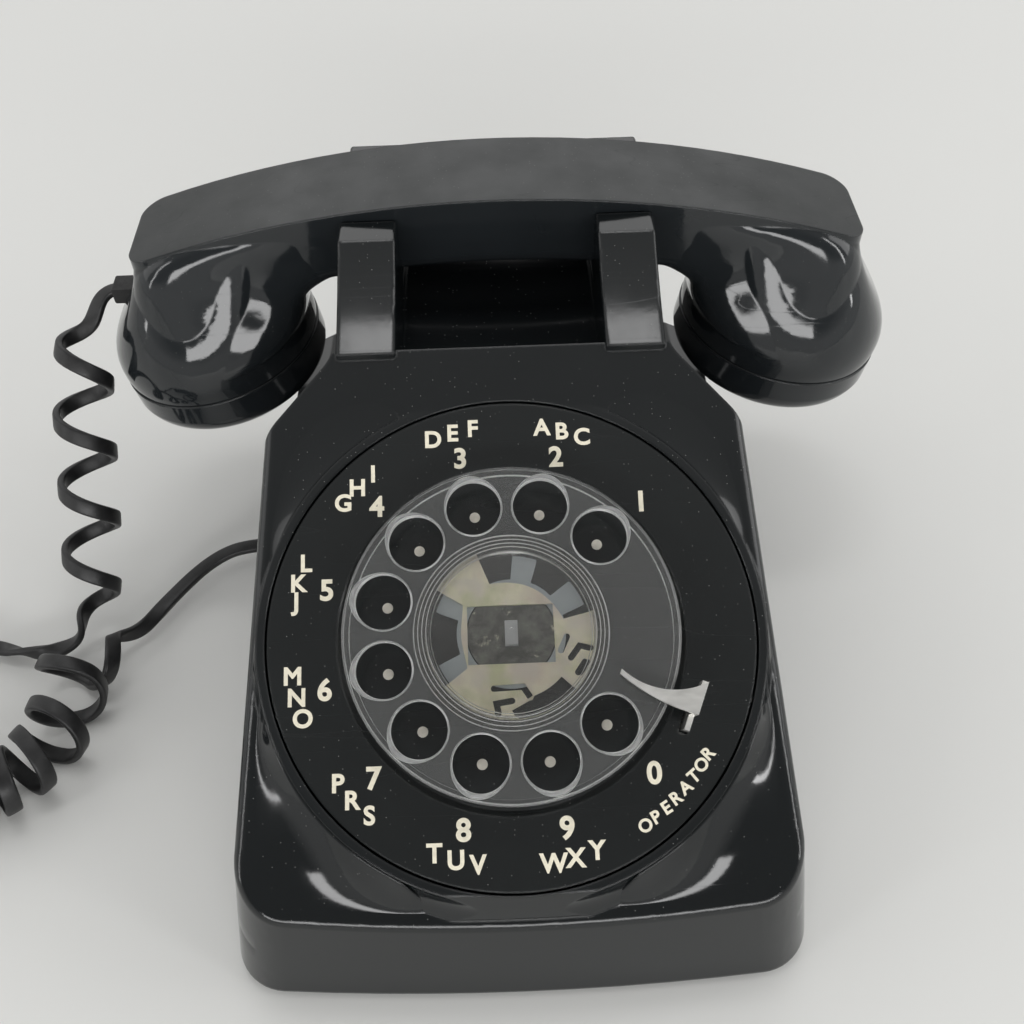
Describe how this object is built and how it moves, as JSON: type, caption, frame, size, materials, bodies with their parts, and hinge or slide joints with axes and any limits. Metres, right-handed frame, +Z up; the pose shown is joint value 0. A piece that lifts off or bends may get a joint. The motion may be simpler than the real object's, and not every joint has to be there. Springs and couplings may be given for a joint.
{
  "type": "rotary desk telephone",
  "caption": "Desk telephone with a turning rotary dial, a lift-off handset in a cradle with hook switch, a curly cord and a full ringer and dial movement inside.",
  "frame": {"origin": "on the table below the middle of the housing and handset", "axes": "+Z up, -Y towards the person dialling, +X to their right"},
  "size_m": [0.3182, 0.213, 0.1218],
  "materials": {
    "black_plastic": "gloss, lightly scuffed",
    "handset_plastic": "worn gloss",
    "plate_plastic": "gloss",
    "clear_plastic": "clear",
    "zinc_plate": "yellow passivated zinc",
    "steel": "satin",
    "nickel": "satin nickel plate",
    "painted_steel": "matt",
    "rubber": "matt",
    "brass": "satin",
    "insulator": "matt",
    "coil_wrap": "varnished tape",
    "aluminium": "satin",
    "cord_sheath": "satin"
  },
  "bodies": {
    "base": {"housing": "black_plastic", "number_plate": "plate_plastic", "finger_stop": "nickel", "base_plate": "painted_steel", "feet": "rubber", "housing_screws": "steel", "dial_frame": "zinc_plate", "dial_bridge": "zinc_plate", "dial_bracket": "zinc_plate", "governor_cup": "brass", "return_spring": "steel", "pulse_contacts": "insulator", "hook_bracket": "zinc_plate", "hook_contacts": "insulator", "ringer_frame": "zinc_plate", "ringer_coil": "coil_wrap", "gong_low": "brass", "gong_high": "brass", "loudness_bracket": "zinc_plate", "network_block": "insulator", "terminal_screws": "brass", "cord_grommet": "rubber", "cord_drop": "cord_sheath", "cord_strand": "cord_sheath", "cord_coil": "cord_sheath", "cord_tail": "cord_sheath"},
    "dial_rotor": {"finger_wheel": "clear_plastic", "card_window": "clear_plastic", "clamp_plate": "zinc_plate", "card_spring": "steel", "dial_shaft": "steel", "main_gear": "brass"},
    "governor": {"governor_shaft": "steel"},
    "handset": {"handset_handle": "handset_plastic", "transmitter_cap": "handset_plastic", "receiver_cap": "handset_plastic", "transmitter_cup": "insulator", "transmitter_capsule": "aluminium", "receiver_capsule": "aluminium", "handset_gland": "rubber"},
    "left_plunger": {"plunger_left": "clear_plastic"},
    "right_plunger": {"plunger_right": "clear_plastic"},
    "lever": {"hook_lever": "zinc_plate"},
    "ringer_clapper": {"clapper": "steel"},
    "loudness": {"loudness_wheel": "insulator"}
  },
  "joints": [
    {"name": "dial_turn", "type": "hinge", "parent": "base", "child": "dial_rotor", "pos_m": [0, -0.0435, 0.0688], "axis": [0, -0.4509, 0.8926], "range_deg": [-330, 0], "stiffness_Nm_per_rad": 0.004, "springref_deg": 171.89},
    {"name": "governor_spin", "type": "hinge", "parent": "base", "child": "governor", "pos_m": [0, -0.01823, 0.06767], "axis": [0, -0.4509, 0.8926], "range_deg": [-6, 1986]},
    {"name": "handset_lift", "type": "slide", "parent": "base", "child": "handset", "axis": [0, 0, 1], "range_m": [0, 0.09], "deforming": ["cord_drop"]},
    {"name": "left_plunger_rise", "type": "slide", "parent": "base", "child": "left_plunger", "axis": [0, 0, 1], "range_m": [0, 0.006]},
    {"name": "right_plunger_rise", "type": "slide", "parent": "base", "child": "right_plunger", "axis": [0, 0, 1], "range_m": [0, 0.006]},
    {"name": "lever_tilt", "type": "hinge", "parent": "base", "child": "lever", "pos_m": [0, 0.0445, 0.06143], "axis": [1, 0, 0], "range_deg": [0, 10.3]},
    {"name": "clapper_swing", "type": "hinge", "parent": "base", "child": "ringer_clapper", "pos_m": [0.026, 0.04, 0.0162], "axis": [0, 0, 1], "range_deg": [-2.5, 2.5]},
    {"name": "loudness_turn", "type": "hinge", "parent": "base", "child": "loudness", "pos_m": [0.052, 0.02, 0.0126], "axis": [0, 1, 0], "range_deg": [-60, 60]}
  ],
  "couplings": [
    {"joint": "governor_spin", "follows": "dial_turn", "ratio": -6},
    {"joint": "left_plunger_rise", "follows": "handset_lift", "ratio": 0.0665},
    {"joint": "right_plunger_rise", "follows": "handset_lift", "ratio": 0.0665},
    {"joint": "lever_tilt", "follows": "handset_lift", "rad_per_m": 1.97}
  ]
}
